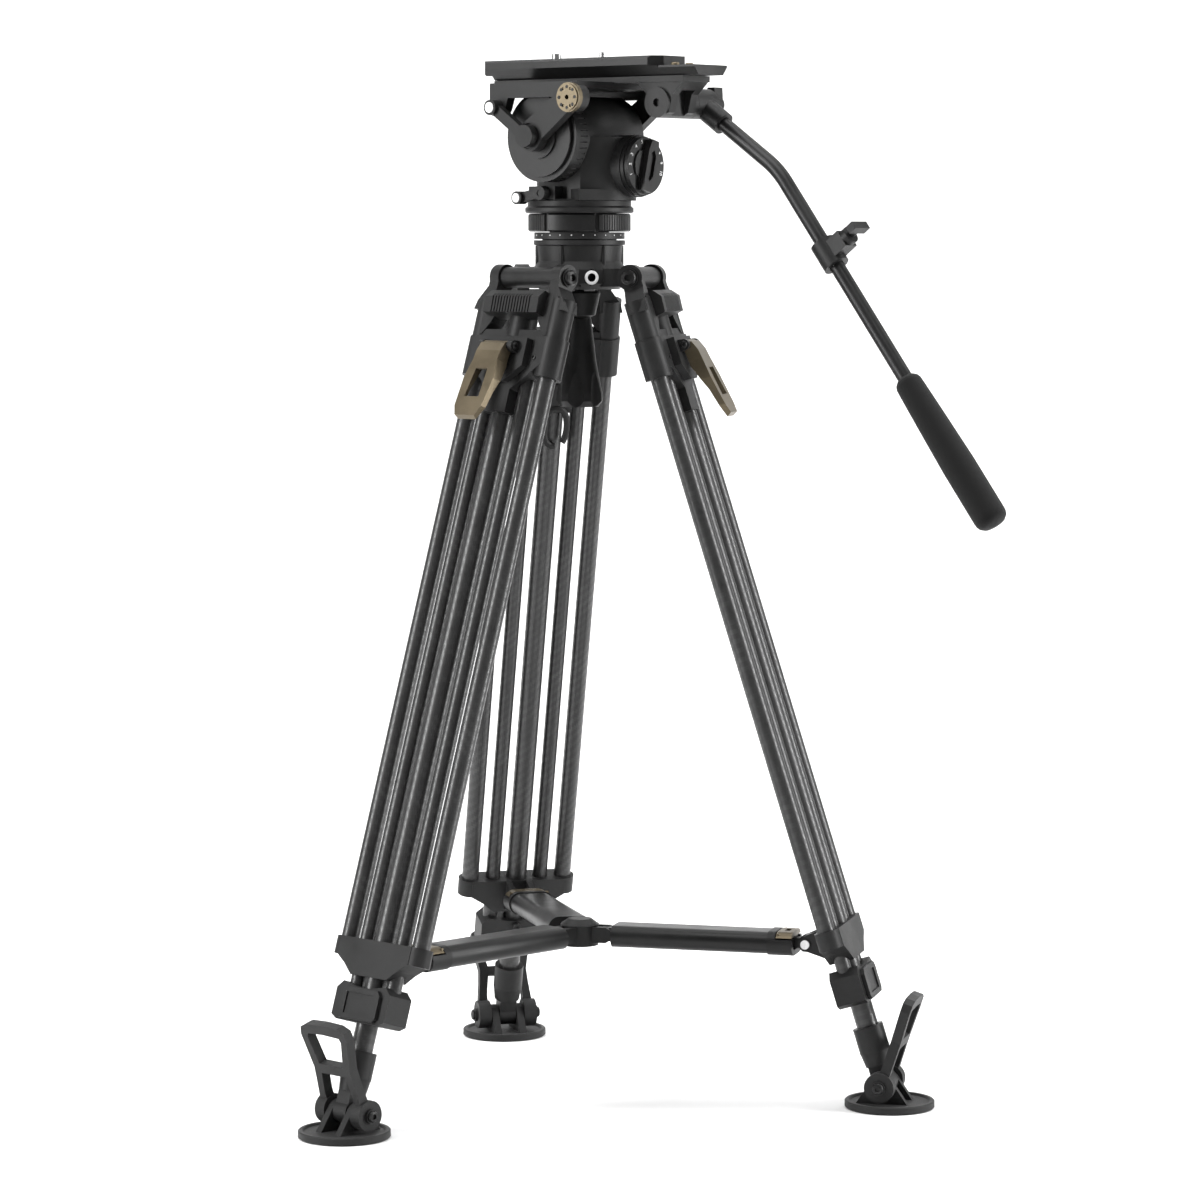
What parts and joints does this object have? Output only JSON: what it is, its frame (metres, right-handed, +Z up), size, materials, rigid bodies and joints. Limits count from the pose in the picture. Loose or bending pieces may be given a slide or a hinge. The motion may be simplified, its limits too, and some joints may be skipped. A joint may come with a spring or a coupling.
{
  "type": "video tripod with fluid head",
  "caption": "Telescoping tube-legged video tripod with a bowl-mounted fluid head, sliding camera plate, pan bar, mid-level spreader and rubber feet.",
  "frame": {"origin": "centre of the footprint of the whole part's box, on the floor", "axes": "+Z up, +Y the way the lens looks with the head at rest, +X the operator's right"},
  "size_m": [0.5947, 0.7956, 1.052],
  "materials": {
    "casting_black": "fine matte black powder coat over a casting",
    "machined_black": "black anodised, satin",
    "carbon_tube": "satin lacquered carbon-fibre tube with a fine weave",
    "bronze_metal": "bronze anodised aluminium, satin",
    "moulded_black": "moulded black nylon, fine grain",
    "soft_rubber": "black rubber, matte",
    "foam_grip": "closed-cell foam, very matte",
    "steel_bright": "plain steel, satin"
  },
  "bodies": {
    "crown": {"crown": "casting_black", "half_ball": "casting_black"},
    "bowl_clamp": {"bowl_clamp_handle": "moulded_black"},
    "pan_drag": {"drag_ring": "machined_black"},
    "head": {"head_body": "casting_black"},
    "tilt_drag": {"tilt_drum": "machined_black"},
    "counterbalance": {"drag_dial": "machined_black"},
    "tilt_lock": {"tilt_lock_lever": "moulded_black"},
    "pan_lock": {"pan_lock_lever": "moulded_black"},
    "tilt_platform": {"platform": "casting_black"},
    "plate_lock": {"plate_lock_knob": "bronze_metal"},
    "sliding_plate": {"camera_plate": "machined_black", "camera_screws": "steel_bright"},
    "bar": {"rosette_clamp": "casting_black", "pan_bar": "machined_black", "bar_grip": "foam_grip"},
    "bar_wing": {"wing_knob": "moulded_black"},
    "bar_clamp": {"control_clamp": "moulded_black"},
    "spreader": {"spreader_hub": "moulded_black", "spreader_arms": "machined_black", "latch_housings": "moulded_black"},
    "leg_1": {"leg_1_shoulder": "casting_black", "leg_1_clamp_housing": "casting_black", "leg_1_upper_tubes": "carbon_tube", "leg_1_bracket": "casting_black"},
    "leg_1_lever": {"leg_1_lock_lever": "bronze_metal"},
    "leg_1_middle": {"leg_1_middle_tubes": "carbon_tube", "leg_1_middle_collar": "casting_black"},
    "leg_1_lower": {"leg_1_lower_tube": "carbon_tube", "leg_1_foot_fork": "casting_black"},
    "leg_1_pad": {"leg_1_foot_pad": "soft_rubber"},
    "leg_1_loop": {"leg_1_foot_loop": "soft_rubber"},
    "rod_1": {"spreader_rod_1": "machined_black"},
    "rod_latch_1": {"spreader_latch_1": "bronze_metal"},
    "leg_2": {"leg_2_shoulder": "casting_black", "leg_2_clamp_housing": "casting_black", "leg_2_upper_tubes": "carbon_tube", "leg_2_bracket": "casting_black"},
    "leg_2_lever": {"leg_2_lock_lever": "bronze_metal"},
    "leg_2_middle": {"leg_2_middle_tubes": "carbon_tube", "leg_2_middle_collar": "casting_black"},
    "leg_2_lower": {"leg_2_lower_tube": "carbon_tube", "leg_2_foot_fork": "casting_black"},
    "leg_2_pad": {"leg_2_foot_pad": "soft_rubber"},
    "leg_2_loop": {"leg_2_foot_loop": "soft_rubber"},
    "rod_2": {"spreader_rod_2": "machined_black"},
    "rod_latch_2": {"spreader_latch_2": "bronze_metal"},
    "leg_3": {"leg_3_shoulder": "casting_black", "leg_3_clamp_housing": "casting_black", "leg_3_upper_tubes": "carbon_tube", "leg_3_bracket": "casting_black"},
    "leg_3_lever": {"leg_3_lock_lever": "bronze_metal"},
    "leg_3_middle": {"leg_3_middle_tubes": "carbon_tube", "leg_3_middle_collar": "casting_black"},
    "leg_3_lower": {"leg_3_lower_tube": "carbon_tube", "leg_3_foot_fork": "casting_black"},
    "leg_3_pad": {"leg_3_foot_pad": "soft_rubber"},
    "leg_3_loop": {"leg_3_foot_loop": "soft_rubber"},
    "rod_3": {"spreader_rod_3": "machined_black"},
    "rod_latch_3": {"spreader_latch_3": "bronze_metal"}
  },
  "joints": [
    {"name": "bowl_clamp_turn", "type": "hinge", "parent": "crown", "child": "bowl_clamp", "pos_m": [0.068, 0.0895, 0.8], "axis": [0, 0, 1], "continuous": true},
    {"name": "pan", "type": "hinge", "parent": "crown", "child": "head", "pos_m": [0.068, 0.0895, 0.9], "axis": [0, 0, 1], "continuous": true},
    {"name": "pan_drag_turn", "type": "hinge", "parent": "head", "child": "pan_drag", "pos_m": [0.068, 0.0895, 0.883], "axis": [0, 0, 1], "range_deg": [0, 160]},
    {"name": "tilt_drag_turn", "type": "hinge", "parent": "head", "child": "tilt_drag", "pos_m": [0.068, 0.0895, 0.968], "axis": [1, 0, 0], "range_deg": [-150, 150]},
    {"name": "counterbalance_turn", "type": "hinge", "parent": "head", "child": "counterbalance", "pos_m": [0.084, 0.0895, 0.939], "axis": [0, 1, 0], "continuous": true},
    {"name": "tilt_lock_turn", "type": "hinge", "parent": "head", "child": "tilt_lock", "pos_m": [-0.012, 0.0895, 0.968], "axis": [1, 0, 0], "range_deg": [-25, 30]},
    {"name": "pan_lock_turn", "type": "hinge", "parent": "head", "child": "pan_lock", "pos_m": [0.013, 0.0915, 0.912], "axis": [1, 0, 0], "range_deg": [-8, 10]},
    {"name": "tilt", "type": "hinge", "parent": "head", "child": "tilt_platform", "pos_m": [0.068, 0.0895, 0.968], "axis": [1, 0, 0], "range_deg": [-60, 25]},
    {"name": "plate_lock_turn", "type": "hinge", "parent": "tilt_platform", "child": "plate_lock", "pos_m": [-0.012, 0.0345, 1.005], "axis": [1, 0, 0], "range_deg": [0, 90]},
    {"name": "plate_slide", "type": "slide", "parent": "tilt_platform", "child": "sliding_plate", "axis": [0, 1, 0], "range_m": [-0.04, 0.04]},
    {"name": "bar_swing", "type": "hinge", "parent": "tilt_platform", "child": "bar", "pos_m": [0.114, -0.0285, 1], "axis": [1, 0, 0], "range_deg": [-75, 0]},
    {"name": "bar_wing_turn", "type": "hinge", "parent": "bar", "child": "bar_wing", "pos_m": [0.114, -0.0285, 1], "axis": [1, 0, 0], "continuous": true},
    {"name": "bar_clamp_slide", "type": "slide", "parent": "bar", "child": "bar_clamp", "axis": [0, -0.6101, -0.7923], "range_m": [-0.06, 0.1]},
    {"name": "spreader_rise", "type": "slide", "parent": "crown", "child": "spreader", "axis": [0, 0, 1], "range_m": [0, 0.0355]},
    {"name": "leg_1_spread", "type": "hinge", "parent": "crown", "child": "leg_1", "pos_m": [0.10505, 0.14242, 0.8284], "axis": [0.8192, -0.5736, 0], "range_deg": [0, 9]},
    {"name": "leg_1_lever_open", "type": "hinge", "parent": "leg_1", "child": "leg_1_lever", "pos_m": [0.13321, 0.18263, 0.76204], "axis": [0.8192, -0.5736, 0], "range_deg": [0, 100]},
    {"name": "leg_1_middle_slide", "type": "slide", "parent": "leg_1", "child": "leg_1_middle", "axis": [0.1715, 0.245, -0.9542], "range_m": [0, 0.42]},
    {"name": "leg_1_lower_slide", "type": "slide", "parent": "leg_1_middle", "child": "leg_1_lower", "axis": [0.1715, 0.245, -0.9542], "range_m": [0, 0.42]},
    {"name": "leg_1_pad_tilt", "type": "hinge", "parent": "leg_1_lower", "child": "leg_1_pad", "pos_m": [0.24955, 0.34878, 0.0245], "axis": [-0.8192, 0.5736, 0], "range_deg": [-17, 17]},
    {"name": "leg_1_loop_swing", "type": "hinge", "parent": "leg_1_lower", "child": "leg_1_loop", "pos_m": [0.24955, 0.34878, 0.0245], "axis": [-0.8192, 0.5736, 0], "range_deg": [-4, 65]},
    {"name": "rod_1_slide", "type": "slide", "parent": "spreader", "child": "rod_1", "axis": [0.5736, 0.8192, 0], "range_m": [0, 0.1022]},
    {"name": "rod_1_latch_lift", "type": "hinge", "parent": "spreader", "child": "rod_latch_1", "pos_m": [0.18874, 0.26193, 0.173], "axis": [0.8192, -0.5736, 0], "range_deg": [0, 50]},
    {"name": "leg_2_spread", "type": "hinge", "parent": "crown", "child": "leg_2", "pos_m": [0.00365, 0.09513, 0.8284], "axis": [0.0872, 0.9962, 0], "range_deg": [0, 9]},
    {"name": "leg_2_lever_open", "type": "hinge", "parent": "leg_2", "child": "leg_2_lever", "pos_m": [-0.04526, 0.09941, 0.76204], "axis": [0.0872, 0.9962, 0], "range_deg": [0, 100]},
    {"name": "leg_2_middle_slide", "type": "slide", "parent": "leg_2", "child": "leg_2_middle", "axis": [-0.2979, 0.0261, -0.9542], "range_m": [0, 0.42]},
    {"name": "leg_2_lower_slide", "type": "slide", "parent": "leg_2_middle", "child": "leg_2_lower", "axis": [-0.2979, 0.0261, -0.9542], "range_m": [0, 0.42]},
    {"name": "leg_2_pad_tilt", "type": "hinge", "parent": "leg_2_lower", "child": "leg_2_pad", "pos_m": [-0.24732, 0.11709, 0.0245], "axis": [-0.0872, -0.9962, 0], "range_deg": [-17, 17]},
    {"name": "leg_2_loop_swing", "type": "hinge", "parent": "leg_2_lower", "child": "leg_2_loop", "pos_m": [-0.24732, 0.11709, 0.0245], "axis": [-0.0872, -0.9962, 0], "range_deg": [-4, 65]},
    {"name": "rod_2_slide", "type": "slide", "parent": "spreader", "child": "rod_2", "axis": [-0.9962, 0.0872, 0], "range_m": [0, 0.1022]},
    {"name": "rod_2_latch_lift", "type": "hinge", "parent": "spreader", "child": "rod_latch_2", "pos_m": [-0.1417, 0.10785, 0.173], "axis": [0.0872, 0.9962, 0], "range_deg": [0, 50]},
    {"name": "leg_3_spread", "type": "hinge", "parent": "crown", "child": "leg_3", "pos_m": [0.0953, 0.03095, 0.8284], "axis": [-0.9063, -0.4226, 0], "range_deg": [0, 9]},
    {"name": "leg_3_lever_open", "type": "hinge", "parent": "leg_3", "child": "leg_3_lever", "pos_m": [0.11605, -0.01354, 0.76204], "axis": [-0.9063, -0.4226, 0], "range_deg": [0, 100]},
    {"name": "leg_3_middle_slide", "type": "slide", "parent": "leg_3", "child": "leg_3_middle", "axis": [0.1264, -0.271, -0.9542], "range_m": [0, 0.42]},
    {"name": "leg_3_lower_slide", "type": "slide", "parent": "leg_3_middle", "child": "leg_3_lower", "axis": [0.1264, -0.271, -0.9542], "range_m": [0, 0.42]},
    {"name": "leg_3_pad_tilt", "type": "hinge", "parent": "leg_3_lower", "child": "leg_3_pad", "pos_m": [0.20177, -0.19737, 0.0245], "axis": [0.9063, 0.4226, 0], "range_deg": [-17, 17]},
    {"name": "leg_3_loop_swing", "type": "hinge", "parent": "leg_3_lower", "child": "leg_3_loop", "pos_m": [0.20177, -0.19737, 0.0245], "axis": [0.9063, 0.4226, 0], "range_deg": [-4, 65]},
    {"name": "rod_3_slide", "type": "slide", "parent": "spreader", "child": "rod_3", "axis": [0.4226, -0.9063, 0], "range_m": [0, 0.1022]},
    {"name": "rod_3_latch_lift", "type": "hinge", "parent": "spreader", "child": "rod_latch_3", "pos_m": [0.15696, -0.10128, 0.173], "axis": [-0.9063, -0.4226, 0], "range_deg": [0, 50]}
  ],
  "couplings": [
    {"joint": "spreader_rise", "follows": "leg_1_spread", "m_per_rad": 0.22445},
    {"joint": "rod_1_slide", "follows": "leg_1_spread", "m_per_rad": 0.64912},
    {"joint": "leg_2_spread", "follows": "leg_1_spread", "ratio": 1},
    {"joint": "rod_2_slide", "follows": "leg_1_spread", "m_per_rad": 0.64912},
    {"joint": "leg_3_spread", "follows": "leg_1_spread", "ratio": 1},
    {"joint": "rod_3_slide", "follows": "leg_1_spread", "m_per_rad": 0.64912}
  ]
}
